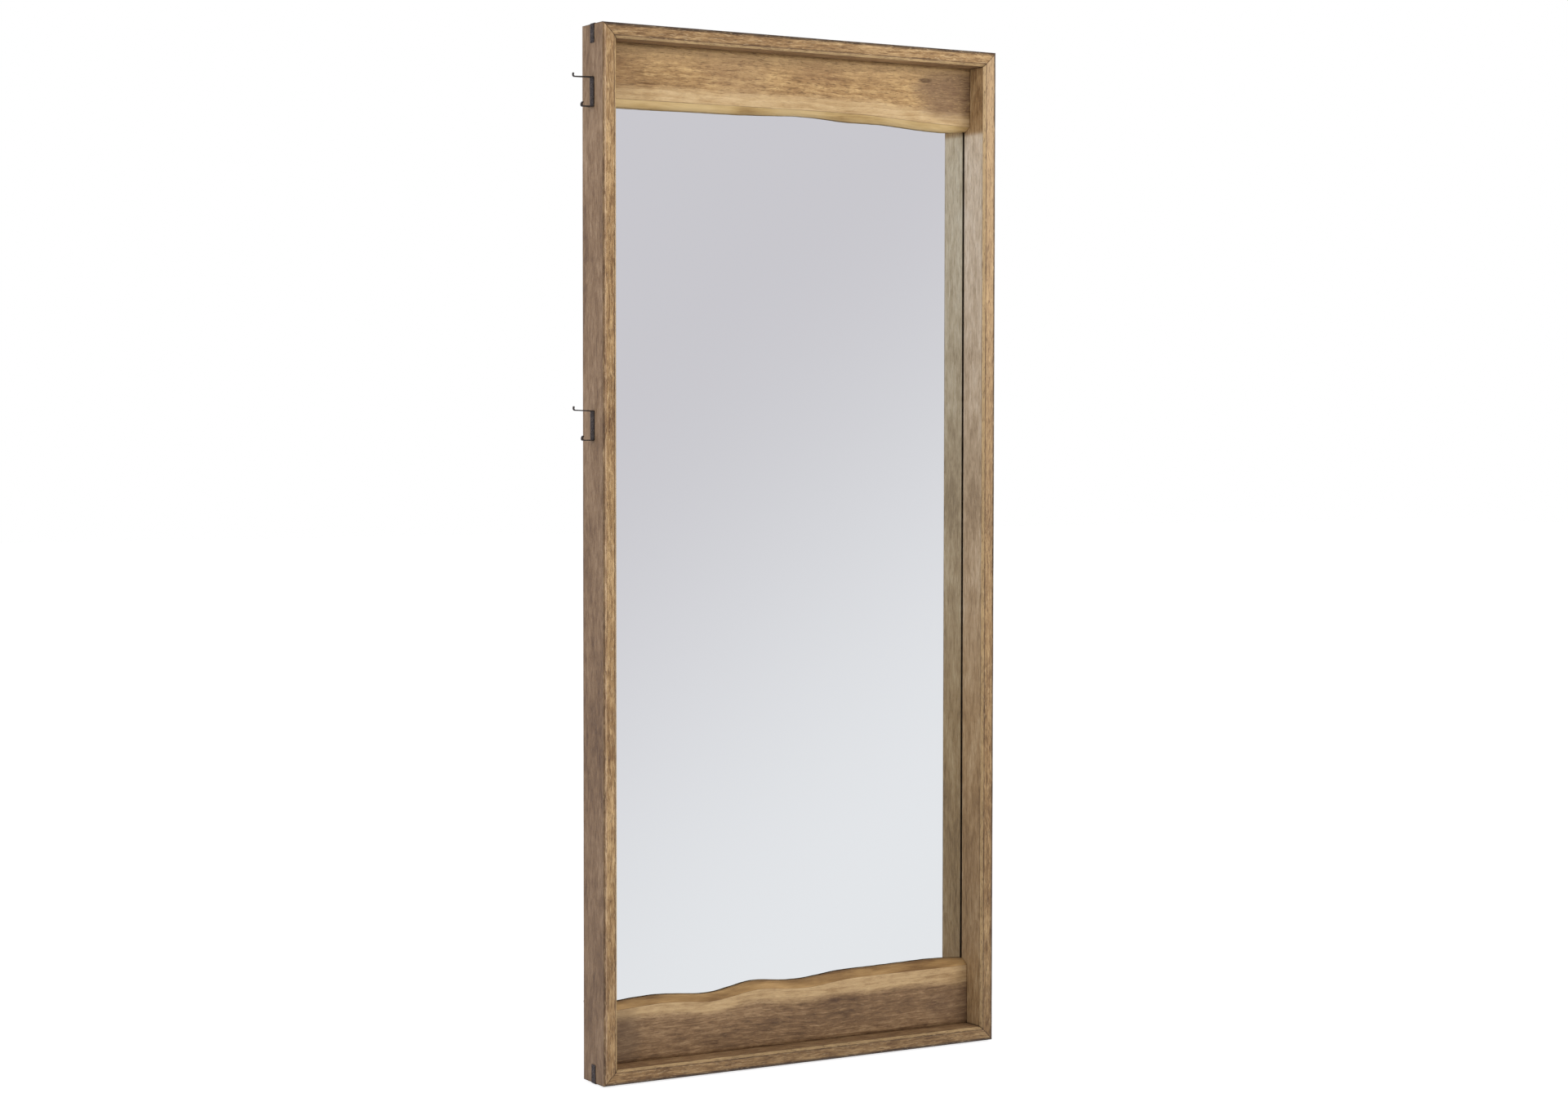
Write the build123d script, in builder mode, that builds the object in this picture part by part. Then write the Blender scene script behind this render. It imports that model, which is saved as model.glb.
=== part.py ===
from build123d import *
import os

os.makedirs("parts", exist_ok=True)

# A tall floor mirror. A deep mitred wood frame holds the glass well back, like a shadow box, with a
# live-edge board across its top and its bottom. Two iron hooks are on its left side, iron straps wrap
# its corners, and two hanging rings are on its back.
# X runs to the viewer's right, Y from the front to the back, and Z up from the floor. The origin is on
# the floor, under the middle of the frame.

# Wood frame
frame_width = 902.0
frame_height = 2032.0
frame_depth = 89.0
bar_width = 30.0
outer_chamfer = 3.0
inner_chamfer = 5.5
back_chamfer = 1.5
pad_thickness = 3.0

# Places that follow from the frame
side_x = frame_width / 2
front_y = -frame_depth / 2
back_y = frame_depth / 2
wood_bottom = pad_thickness
wood_top = wood_bottom + frame_height
wood_middle = (wood_bottom + wood_top) / 2
inner_x = side_x - bar_width

# What lies in the rebate behind the opening, from the front to the back
rebate_width = 10.0
glass_setback = 71.5
glass_y = front_y + glass_setback
glass_thickness = 5.0
panel_thickness = 4.0
bead_thickness = 8.0
bead_width = 14.0
bead_chamfer = 1.0
bead_screw_heights = [100.0, 400.0, 700.0, 1000.0, 1300.0, 1600.0, 1930.0]
bead_screw_xs = [-300.0, 0.0, 300.0]
glass_clearance = 2.0
panel_clearance = 1.0
panel_y = glass_y + glass_thickness
bead_y = panel_y + panel_thickness
rebate_x = inner_x + rebate_width
rebate_bottom = wood_bottom + bar_width - rebate_width
rebate_top = wood_top - bar_width + rebate_width
block_height = 4.0
block_length = 80.0
block_x = 215.0

# Live-edge boards. Each point of an edge is its X, then how far the edge's front and back corners
# stand from the frame's own end.
board_setback = 51.0
board_y = front_y + board_setback
board_thickness = glass_y - board_y
edge_swell = 2.0
bottom_edge = [
    (-inner_x, 134.0, 146.5),
    (-350, 137.5, 153.0),
    (-298, 139.5, 154.4),
    (-245, 136.8, 151.0),
    (-190, 132.6, 147.2),
    (-135, 138.6, 154.2),
    (-78, 146.3, 162.5),
    (-20, 142.0, 157.6),
    (45, 139.8, 157.0),
    (110, 146.5, 163.8),
    (205, 149.6, 165.9),
    (325, 150.3, 168.6),
    (inner_x, 151.0, 164.5),
]
top_edge = [
    (-inner_x, 138.0, 154.4),
    (-300, 137.7, 154.6),
    (-190, 137.2, 153.3),
    (-95, 136.9, 152.4),
    (-10, 136.6, 148.9),
    (60, 136.3, 149.2),
    (125, 136.8, 153.4),
    (215, 139.5, 154.5),
    (290, 144.3, 158.8),
    (361, 147.0, 162.4),
    (inner_x, 149.0, 158.5),
]

# Hidden joinery
dowel_radius = 4.0
dowel_length = 32.0
dowel_fit = 0.05
dowel_chamfer = 0.8
end_dowel_heights = [60.0, 105.0]
rail_dowel_xs = [-280.0, 0.0, 280.0]
dowel_y = board_y + board_thickness / 2
biscuit_length = 24.0
biscuit_thickness = 4.0
biscuit_width = 22.0
biscuit_ys = [-24.0, 16.0]

# Iron corner straps
strap_thickness = 1.8
strap_width = 16.0
strap_leg = 36.0
strap_bend = 2.5
strap_screw_from_corner = 22.0

# Iron hooks on the left side
hook_thickness = 2.2
hook_width = 15.0
hook_arm_spacing = 56.0
hook_screw_spacing = 24.0
upper_reach = 43.0
upper_rise = 8.6
upper_tip_width = 5.0
lower_reach = 24.5
lower_rise = 8.0
lower_curl = 2.6
lower_tip_width = 7.0
tip_roll_radius = 1.6
upper_tip_lean = 1.0
lower_curl_height = 4.96
hook_bends = [3.2, 2.0, 2.0, 2.6, 1.8]
taper_cut_margin = 5.0
hook_zs = {"hook_upper": wood_bottom + 1903.0, "hook_lower": wood_bottom + 1267.7}
arm_droops = {"hook_upper": -1.2, "hook_lower": 1.2}

# Hanging rings on the back, drawn with each ring hanging down
hanger_inset = 13.8
hanger_height = 1750.0
hanger_x = side_x - hanger_inset
hanger_z = wood_bottom + hanger_height
hanger_width = 13.0
hanger_length = 70.0
hanger_thickness = 1.5
hanger_foot_round = 5.2
hanger_screw_drops = [10.0, 34.0, 60.0]
ring_wire = 1.6
ring_gap = 0.35
ring_bore_fit = 0.07
ring_half_width = 9.2
ring_arm = 8.0
ring_corner = 2.2
ring_y = back_y + hanger_thickness + ring_gap + ring_wire

# Rubber parts
bumper_radius = 8.0
bumper_height = 8.0
bumper_round = 1.5
bumper_inset = 12.0
bumper_from_end = 150.0
bumper_x = side_x - bumper_inset
bumper_zs = [wood_bottom + bumper_from_end, wood_top - bumper_from_end]
bumper_recess_radius = 4.0
bumper_recess_depth = 4.5
pad_length = 50.0
pad_width = 44.0
pad_round = 5.0
pad_y = 20.5
pad_xs = [-370.0, 0.0, 370.0]

# Screws: shank radius, head radius and length
small_screw = (1.75, 3.2, 26.0)
strap_screw = (1.75, 3.4, 16.0)
hook_screw = (1.9, 3.6, 22.0)
hanger_screw = (1.9, 3.6, 20.0)
bumper_screw = (1.75, 3.2, 20.0)
screw_fit = 0.05
slot_width = 0.8
slot_length_in_heads = 1.3
slot_depth = 1.0

at_start = (Align.CENTER, Align.CENTER, Align.MIN)
at_end = (Align.CENTER, Align.CENTER, Align.MAX)
corners = [(side, end) for side in (-1, 1) for end in (-1, 1)]


def end_z(end):
    """The height of the frame's lower end (-1) or upper end (1)."""
    return wood_bottom if end < 0 else wood_top


# Where each fastener starts, as a plane whose Z points the way that the fastener goes in
dowel_places = []
for end in (-1, 1):
    for side in (-1, 1):
        for height in end_dowel_heights:
            centre = (side * inner_x, dowel_y, end_z(end) - end * height)
            dowel_places.append(Plane(origin=centre, z_dir=(1, 0, 0)))
    for x in rail_dowel_xs:
        centre = (x, dowel_y, end_z(end) - end * bar_width)
        dowel_places.append(Plane(origin=centre, z_dir=(0, 0, 1)))

biscuit_places = []
for side, end in corners:
    for y in biscuit_ys:
        centre = (side * (side_x - bar_width / 2), y, end_z(end) - end * bar_width / 2)
        biscuit_places.append(Plane(origin=centre, x_dir=(-side, 0, end), z_dir=(0, 1, 0)))

bead_screw_y = bead_y + bead_thickness / 2
bead_screw_zs = [wood_bottom + height for height in bead_screw_heights]
bead_screw_seats = []
for side in (-1, 1):
    for z in bead_screw_zs:
        seat = (side * (rebate_x - bead_width), bead_screw_y, z)
        bead_screw_seats.append(Plane(origin=seat, z_dir=(side, 0, 0)))
for end, rebate_end in ((-1, rebate_bottom), (1, rebate_top)):
    for x in bead_screw_xs:
        seat = (x, bead_screw_y, rebate_end - end * bead_width)
        bead_screw_seats.append(Plane(origin=seat, z_dir=(0, 0, end)))

strap_screw_seats = []
for side, end in corners:
    on_side = (side * (side_x + strap_thickness), 0, end_z(end) - end * strap_screw_from_corner)
    on_end = (side * (side_x - strap_screw_from_corner), 0, end_z(end) + end * strap_thickness)
    strap_screw_seats.append(Plane(origin=on_side, z_dir=(-side, 0, 0)))
    strap_screw_seats.append(Plane(origin=on_end, z_dir=(0, 0, -end)))

hook_screw_seats = []
for hook_z in hook_zs.values():
    for way in (-1, 1):
        seat = (-side_x - hook_thickness, 0, hook_z + way * hook_screw_spacing / 2)
        hook_screw_seats.append(Plane(origin=seat, z_dir=(1, 0, 0)))

hanger_screw_seats = []
for side in (-1, 1):
    for drop in hanger_screw_drops:
        seat = (side * hanger_x, back_y + hanger_thickness, hanger_z - drop)
        hanger_screw_seats.append(Plane(origin=seat, z_dir=(0, -1, 0)))

bumper_places = []
bumper_screw_seats = []
for side in (-1, 1):
    for z in bumper_zs:
        bumper_places.append(Plane(origin=(side * bumper_x, back_y, z), z_dir=(0, 1, 0)))
        seat = (side * bumper_x, back_y + bumper_height - bumper_recess_depth, z)
        bumper_screw_seats.append(Plane(origin=seat, z_dir=(0, -1, 0)))


def save(piece, name):
    """Name a finished piece and write it."""
    piece.part.label = name
    export_step(piece.part, f"parts/{name}.step")


def flat_screws(seats, size):
    """Flat-head screws, each with a cross recess, flush at their seats."""
    shank, head, length = size
    slot_length = slot_length_in_heads * head
    with Locations(*seats):
        Cylinder(shank, length, align=at_start)
        Cone(head, shank, head - shank, align=at_start)
        Box(slot_length, slot_width, slot_depth, align=at_start, mode=Mode.SUBTRACT)
        Box(slot_width, slot_length, slot_depth, align=at_start, mode=Mode.SUBTRACT)


def screw_holes(seats, size):
    """The countersunk holes that those screws need in what they pass through."""
    shank, head, length = size
    with Locations(*seats):
        Cylinder(shank + screw_fit, length + screw_fit, align=at_start, mode=Mode.SUBTRACT)
        Cone(head + screw_fit, shank + screw_fit, head - shank, align=at_start, mode=Mode.SUBTRACT)


def dowel_holes():
    """The blind holes of every dowel."""
    with Locations(*dowel_places):
        Cylinder(dowel_radius + dowel_fit, dowel_length + 2 * dowel_fit, mode=Mode.SUBTRACT)


# The four bars of the frame. A bar's section is drawn with its outer face at the left and its front
# at the bottom.
def make_bar(centre, inward, length, mitres):
    """One bar, cut at both ends on the mitre planes that are given by a corner and a way to keep."""
    rebate_floor = bar_width - rebate_width
    section = [
        (outer_chamfer, front_y),
        (bar_width - inner_chamfer, front_y),
        (bar_width, front_y + inner_chamfer),
        (bar_width, glass_y),
        (rebate_floor, glass_y),
        (rebate_floor, back_y),
        (back_chamfer, back_y),
        (0, back_y - back_chamfer),
        (0, front_y + outer_chamfer),
    ]
    along = Vector(*inward).cross(Vector(0, 1, 0))
    with BuildPart() as bar:
        with BuildSketch(Plane(origin=centre, x_dir=inward, z_dir=along)):
            with BuildLine():
                Polyline(*section, close=True)
            make_face()
        extrude(amount=length / 2, both=True)
        for corner, keep in mitres:
            split(bisect_by=Plane(origin=corner, z_dir=keep), keep=Keep.TOP)
        dowel_holes()
        with Locations(*biscuit_places):
            Box(biscuit_length, biscuit_thickness, biscuit_width, mode=Mode.SUBTRACT)
        screw_holes(bead_screw_seats, small_screw)
        screw_holes(strap_screw_seats, strap_screw)
        screw_holes(hook_screw_seats, hook_screw)
        screw_holes(hanger_screw_seats, hanger_screw)
        screw_holes(bumper_screw_seats, bumper_screw)
    return bar


for side, name in ((-1, "stile_left"), (1, "stile_right")):
    cuts = [((side * side_x, 0, end_z(end)), (side, 0, -end)) for end in (-1, 1)]
    stile = make_bar((side * side_x, 0, wood_middle), (-side, 0, 0), frame_height, cuts)
    save(stile, name)

for end, name in ((-1, "rail_bottom"), (1, "rail_top")):
    cuts = [((side * side_x, 0, end_z(end)), (-side, 0, end)) for side in (-1, 1)]
    rail = make_bar((0, 0, end_z(end)), (0, 0, -end), frame_width, cuts)
    save(rail, name)

with BuildPart() as mitre_biscuits:
    with Locations(*biscuit_places):
        Box(biscuit_length, biscuit_thickness, biscuit_width)
save(mitre_biscuits, "mitre_biscuits")


# The live-edge boards. The edge slopes from its front corner to its back corner over a slight swell.
def make_board(edge, end):
    """A board that stands on one end rail, with its live edge towards the middle of the mirror."""
    rail_face = end_z(end) - end * bar_width
    middle = [(x, (front + back) / 2 + edge_swell) for x, front, back in edge]
    layers = [
        (board_y, [(x, front) for x, front, back in edge]),
        (board_y + board_thickness / 2, middle),
        (glass_y, [(x, back) for x, front, back in edge]),
    ]
    with BuildPart() as board:
        for y, heights in layers:
            with BuildSketch(Plane.XZ.offset(-y)):
                with BuildLine():
                    points = [(x, end_z(end) - end * height) for x, height in heights]
                    Spline(*points)
                    Polyline(points[-1], (inner_x, rail_face), (-inner_x, rail_face), points[0])
                make_face()
        loft(ruled=True)
        dowel_holes()
    return board


board_bottom = make_board(bottom_edge, -1)
save(board_bottom, "board_bottom")

board_top = make_board(top_edge, 1)
save(board_top, "board_top")

with BuildPart() as board_dowels:
    with Locations(*dowel_places):
        Cylinder(dowel_radius, dowel_length)
    chamfer(board_dowels.edges().filter_by(GeomType.CIRCLE), dowel_chamfer)
save(board_dowels, "board_dowels")

# The glass stands on two rubber blocks in the rebate, with the back panel flat behind it.
glass_width = 2 * (rebate_x - glass_clearance)
glass_bottom = rebate_bottom + block_height
glass_height = rebate_top - glass_clearance - glass_bottom

with BuildPart() as mirror_glass:
    with Locations((0, glass_y, glass_bottom)):
        Box(glass_width, glass_thickness, glass_height, align=(Align.CENTER, Align.MIN, Align.MIN))
save(mirror_glass, "mirror_glass")

with BuildPart() as setting_blocks:
    with Locations((-block_x, glass_y, rebate_bottom), (block_x, glass_y, rebate_bottom)):
        Box(block_length, glass_thickness, block_height, align=(Align.CENTER, Align.MIN, Align.MIN))
save(setting_blocks, "setting_blocks")

panel_width = 2 * (rebate_x - panel_clearance)
panel_bottom = rebate_bottom + panel_clearance
panel_height = rebate_top - rebate_bottom - 2 * panel_clearance

with BuildPart() as back_panel:
    with Locations((0, panel_y, panel_bottom)):
        Box(panel_width, panel_thickness, panel_height, align=(Align.CENTER, Align.MIN, Align.MIN))
save(back_panel, "back_panel")


# Four beads press the panel and the glass against the rebate.
def make_bead(centre, width, height):
    """One bead, its back edges eased, drilled for its screws."""
    with BuildPart() as bead:
        with Locations(centre):
            Box(width, bead_thickness, height, align=(Align.CENTER, Align.MIN, Align.CENTER))
        chamfer(bead.edges().group_by(Axis.Y)[-1], bead_chamfer)
        screw_holes(bead_screw_seats, small_screw)
    return bead


bead_centre_x = rebate_x - bead_width / 2
for side, name in ((-1, "bead_left"), (1, "bead_right")):
    bead = make_bead((side * bead_centre_x, bead_y, wood_middle), bead_width, rebate_top - rebate_bottom)
    save(bead, name)

bead_run = 2 * (rebate_x - bead_width)
bottom_bead_z = rebate_bottom + bead_width / 2
top_bead_z = rebate_top - bead_width / 2
for bead_z, name in ((bottom_bead_z, "bead_bottom"), (top_bead_z, "bead_top")):
    bead = make_bead((0, bead_y, bead_z), bead_run, bead_width)
    save(bead, name)

with BuildPart() as bead_screws:
    flat_screws(bead_screw_seats, small_screw)
save(bead_screws, "bead_screws")

# An iron strap wraps each corner at the middle of the frame's depth.
for side, end in corners:
    z = end_z(end)
    outside = (side * (side_x + strap_thickness), z + end * strap_thickness)
    outline = [
        (side * side_x, z),
        (side * side_x, z - end * strap_leg),
        (outside[0], z - end * strap_leg),
        outside,
        (side * (side_x - strap_leg), outside[1]),
        (side * (side_x - strap_leg), z),
    ]
    with BuildPart() as corner_strap:
        with BuildSketch(Plane.XZ) as strap_section:
            with BuildLine():
                Polyline(*outline, close=True)
            make_face()
            fillet(strap_section.vertices().sort_by_distance(outside)[0], strap_bend)
        extrude(amount=strap_width / 2, both=True)
        screw_holes(strap_screw_seats, strap_screw)
    end_name = "bottom" if end < 0 else "top"
    side_name = "left" if side < 0 else "right"
    save(corner_strap, f"strap_{end_name}_{side_name}")

with BuildPart() as strap_screws:
    flat_screws(strap_screw_seats, strap_screw)
save(strap_screws, "strap_screws")


# The hooks are bent from iron strap: a long arm above and a short curled arm below.
def make_hook(hook_z, droop):
    """One hook. Its profile is drawn with X out from the frame's side and Y up."""
    half = hook_arm_spacing / 2
    centre_line = hook_thickness / 2
    upper_x = upper_reach - centre_line
    lower_x = lower_reach - centre_line
    upper_tip = (upper_x - upper_tip_lean, half + droop + upper_rise - tip_roll_radius)
    lower_tip = (lower_x - lower_curl, -half + lower_rise)
    route = [
        upper_tip,
        (upper_x, half + droop),
        (centre_line, half),
        (centre_line, -half),
        (lower_x, -half),
        (lower_x, -half + lower_curl_height),
        lower_tip,
    ]
    with BuildPart() as hook:
        with BuildSketch(Plane(origin=(-side_x, 0, hook_z), x_dir=(-1, 0, 0), z_dir=(0, 1, 0))):
            with BuildLine() as path:
                FilletPolyline(*route, radius=hook_bends)
            trace(path.line, line_width=hook_thickness)
            with Locations(upper_tip, lower_tip):
                Circle(tip_roll_radius)
        extrude(amount=hook_width / 2, both=True)
        for reach, tip_width, z_start in (
            (upper_reach, upper_tip_width, hook_z),
            (lower_reach, lower_tip_width, hook_z - hook_arm_spacing),
        ):
            root = (-side_x - hook_thickness, hook_width / 2)
            tip = (-side_x - reach, tip_width / 2)
            beyond = (tip[0] - taper_cut_margin, hook_width)
            with BuildSketch(Plane.XY.offset(z_start)) as sides:
                with BuildLine():
                    Polyline(root, tip, (beyond[0], tip[1]), beyond, (root[0], beyond[1]), close=True)
                make_face()
                mirror(sides.sketch_local, about=Plane.XZ)
            extrude(amount=hook_arm_spacing, mode=Mode.SUBTRACT)
        screw_holes(hook_screw_seats, hook_screw)
    return hook


for name, hook_z in hook_zs.items():
    hook = make_hook(hook_z, arm_droops[name])
    save(hook, name)

with BuildPart() as hook_screws:
    flat_screws(hook_screw_seats, hook_screw)
save(hook_screws, "hook_screws")

# Each hanger is a strap with a rolled eye at its top. The ring's straight side turns in the eye.
eye_bore = ring_wire + ring_bore_fit
eye_radius = eye_bore + hanger_thickness

for side, name in ((-1, "left"), (1, "right")):
    strap_foot = hanger_z - hanger_length
    with BuildPart() as hanger:
        with BuildSketch(Plane.YZ.offset(side * hanger_x)):
            with Locations((back_y, strap_foot)):
                Rectangle(hanger_thickness, hanger_length, align=Align.MIN)
            with Locations((ring_y, hanger_z)):
                Circle(eye_radius)
                Circle(eye_bore, mode=Mode.SUBTRACT)
        extrude(amount=hanger_width / 2, both=True)
        foot_edges = hanger.edges().filter_by(Axis.Y).group_by(Axis.Z)[0]
        fillet(foot_edges, hanger_foot_round)
        screw_holes(hanger_screw_seats, hanger_screw)
    save(hanger, f"hanger_{name}")

    with BuildPart() as ring:
        with BuildLine(Plane(origin=(side * hanger_x, ring_y, hanger_z), x_dir=(1, 0, 0), z_dir=(0, -1, 0))):
            top_start = (-ring_half_width + ring_corner, 0)
            top_end = (ring_half_width - ring_corner, 0)
            arm_end_right = (ring_half_width, -ring_arm)
            arm_end_left = (-ring_half_width, -ring_arm)
            straight = Line(top_start, top_end)
            TangentArc(top_end, (ring_half_width, -ring_corner), tangent=straight % 1)
            Line((ring_half_width, -ring_corner), arm_end_right)
            ThreePointArc(arm_end_right, (0, -ring_arm - ring_half_width), arm_end_left)
            arm_left = Line(arm_end_left, (-ring_half_width, -ring_corner))
            TangentArc((-ring_half_width, -ring_corner), top_start, tangent=arm_left % 1)
        with BuildSketch(Plane(origin=(side * hanger_x, ring_y, hanger_z), z_dir=(1, 0, 0))):
            Circle(ring_wire)
        sweep()
    save(ring, f"ring_{name}")

with BuildPart() as hanger_screws:
    flat_screws(hanger_screw_seats, hanger_screw)
save(hanger_screws, "hanger_screws")

# Rubber bumpers keep the frame's back off a wall, and rubber pads keep its end off the floor. The pads
# are under the glass, whose weight lies behind the middle of the frame's depth.
with BuildPart() as wall_bumpers:
    with Locations(*bumper_places):
        Cylinder(bumper_radius, bumper_height, align=at_start)
    fillet(wall_bumpers.edges().filter_by(GeomType.CIRCLE).group_by(Axis.Y)[-1], bumper_round)
    with Locations(*bumper_screw_seats):
        Cylinder(bumper_recess_radius, bumper_recess_depth, align=at_end, mode=Mode.SUBTRACT)
    screw_holes(bumper_screw_seats, bumper_screw)
save(wall_bumpers, "wall_bumpers")

with BuildPart() as bumper_screws:
    flat_screws(bumper_screw_seats, bumper_screw)
save(bumper_screws, "bumper_screws")

with BuildPart() as floor_pads:
    with Locations(*[(x, pad_y, 0) for x in pad_xs]):
        Box(pad_length, pad_width, pad_thickness, align=at_start)
    fillet(floor_pads.edges().filter_by(Axis.Z), pad_round)
save(floor_pads, "floor_pads")
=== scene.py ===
from math import cos, pi, radians, sin, sqrt

import bpy
from mathutils import Euler, Matrix, Vector, noise
from mathutils.bvhtree import BVHTree

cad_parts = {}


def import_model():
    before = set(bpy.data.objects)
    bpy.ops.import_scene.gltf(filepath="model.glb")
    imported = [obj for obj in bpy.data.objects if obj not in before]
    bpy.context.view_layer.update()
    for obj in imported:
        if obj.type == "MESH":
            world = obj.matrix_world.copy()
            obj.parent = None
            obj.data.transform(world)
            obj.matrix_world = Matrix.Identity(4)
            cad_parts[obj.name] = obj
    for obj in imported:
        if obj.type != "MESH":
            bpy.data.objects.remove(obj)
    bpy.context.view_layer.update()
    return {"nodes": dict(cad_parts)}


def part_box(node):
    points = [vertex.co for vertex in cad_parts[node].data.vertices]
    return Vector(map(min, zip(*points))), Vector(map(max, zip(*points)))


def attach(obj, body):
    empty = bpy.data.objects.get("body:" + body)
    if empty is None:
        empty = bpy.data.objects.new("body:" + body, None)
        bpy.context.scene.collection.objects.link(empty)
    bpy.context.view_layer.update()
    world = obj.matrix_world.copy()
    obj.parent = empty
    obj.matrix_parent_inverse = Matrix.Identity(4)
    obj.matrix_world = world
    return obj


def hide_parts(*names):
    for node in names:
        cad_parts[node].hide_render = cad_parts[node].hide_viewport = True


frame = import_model()
nodes = frame["nodes"]

MM = 0.001

# The wood frame's extent, and the planes that other pieces follow
LEFT_LOW, LEFT_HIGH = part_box("stile_left")
SIDE_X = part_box("stile_right")[1].x
FRONT_Y = LEFT_LOW.y
BACK_Y = LEFT_HIGH.y
WOOD_BOTTOM = LEFT_LOW.z
WOOD_TOP = LEFT_HIGH.z
WIDTH = 2 * SIDE_X
DEPTH = BACK_Y - FRONT_Y
HEIGHT = WOOD_TOP - WOOD_BOTTOM
BAR = LEFT_HIGH.x - LEFT_LOW.x
GLASS_LOW, GLASS_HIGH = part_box("mirror_glass")
TOP_BOARD_LOW, TOP_BOARD_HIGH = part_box("board_top")
BOTTOM_BOARD_LOW, BOTTOM_BOARD_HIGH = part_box("board_bottom")
X, Y, Z = Vector((1, 0, 0)), Vector((0, 1, 0)), Vector((0, 0, 1))

# A bar's section, as the frame has it
OUTER_CHAMFER = 3.0 * MM
INNER_CHAMFER = 5.5 * MM
BACK_CHAMFER = 1.5 * MM
REBATE = 10.0 * MM
REBATE_DEPTH = GLASS_LOW.y - FRONT_Y

# Iron
STRAP_WIDTH = 16.0 * MM
STRAP_THICKNESS = 1.3 * MM
STRAP_SCREW_DOME = 0.5 * MM
STRAP_LEG = 36.0 * MM
STRAP_SCREW_FROM_CORNER = 22.0 * MM
STRAP_SCREW_LENGTH = 14.0 * MM
HOOK_WIDTH = 15.0 * MM
HOOK_THICKNESS = 2.2 * MM
HOOK_HALF_HEIGHT = 28.0 * MM
HOOK_UPPER_REACH = 43.0 * MM
HOOK_LOWER_REACH = 24.5 * MM
HOOK_UPPER_TIP_RISE = 7.6 * MM
HOOK_UPPER_TIP_WIDTH = 5.0 * MM
HOOK_LOWER_TIP_WIDTH = 7.0 * MM
HOOK_ARM_RISE = 1.2 * MM
HOOK_SCREW_SPACING = 24.0 * MM
HOOK_SCREW_DOME = 1.0 * MM
HOOK_SCREW_LENGTH = 20.0 * MM
SCREW_HEAD_RADIUS = 3.6 * MM

# The photograph's camera
CAMERA_PLACE = (-3.0519, -5.1075, 1.2449)
CAMERA_YAW = 30.644
CAMERA_PITCH = -2.228
CAMERA_ROLL = 0.065
CAMERA_LENS = 68.6


def rgb(red, green, blue):
    """A colour written as it looks on screen, 0 to 255, as Blender's linear colour."""
    def linear(value):
        value /= 255
        return value / 12.92 if value <= 0.04045 else ((value + 0.055) / 1.055) ** 2.4
    return (linear(red), linear(green), linear(blue), 1.0)


# Tones are dark, middle and light
FRONT_TONES = (rgb(100, 70, 40), rgb(154, 122, 82), rgb(200, 168, 122))
SIDE_GRAIN_AND_SHADE_TONES = (rgb(100, 76, 56), rgb(139, 112, 84), rgb(172, 145, 117))
LIT_INNER_TONES = (rgb(140, 110, 74), rgb(184, 151, 108), rgb(214, 186, 146))
TAN_INNER = (rgb(100, 72, 46), rgb(150, 118, 82), rgb(186, 156, 116))
BROWN_INNER = (rgb(98, 72, 46), rgb(146, 114, 78), rgb(180, 148, 108))
INNER_HIGHLIGHT_TONES = (rgb(196, 178, 152), rgb(226, 210, 187), rgb(242, 230, 212))
WEAR_AND_HIGHLIGHT_DARK = rgb(150, 118, 88)
WEAR_AND_HIGHLIGHT_PALE = rgb(208, 180, 150)
LIT_TOP_TAN = rgb(210, 180, 142)
CHAMFER_TAN = rgb(206, 178, 130)
PALE_FLECK = rgb(214, 188, 148)
# Dark brown: glaze in the mitres, dark lines along the arrises, and painted shade behind the inner chamfer and
# where the boards meet the mirror
GLAZE_AND_SHADE_BROWN = rgb(72, 52, 36)
ARRIS_DARK = rgb(40, 28, 19)
PORE_BROWN = rgb(84, 58, 36)
REBATE_SHADE_BROWN = rgb(52, 36, 22)

TOP_HEART = (rgb(104, 74, 42), rgb(159, 126, 83), rgb(198, 166, 116))
TOP_SAPWOOD = (rgb(156, 125, 82), rgb(185, 157, 115), rgb(204, 178, 138))
TOP_BEVEL = (rgb(158, 126, 76), rgb(194, 164, 110), rgb(212, 184, 132))
BOTTOM_HEART = (rgb(82, 60, 38), rgb(125, 97, 67), rgb(160, 132, 98))
BOTTOM_SAPWOOD = (rgb(142, 112, 74), rgb(180, 151, 110), rgb(198, 170, 128))
BOTTOM_BEVEL = (rgb(110, 80, 44), rgb(149, 117, 73), rgb(176, 142, 94))
BOARD_TOP_LIGHT = rgb(214, 182, 134)
BOARD_PORE = rgb(92, 68, 46)
BOARD_ARRIS = rgb(112, 84, 56)
END_SHADE_BROWN = rgb(112, 88, 68)
KNOT_BROWN = rgb(70, 48, 32)

BEAD_TONES = (rgb(132, 102, 70), rgb(176, 146, 108), rgb(204, 178, 140))
BEECH_TONES = (rgb(176, 140, 98), rgb(206, 174, 132), rgb(224, 198, 160))


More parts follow.
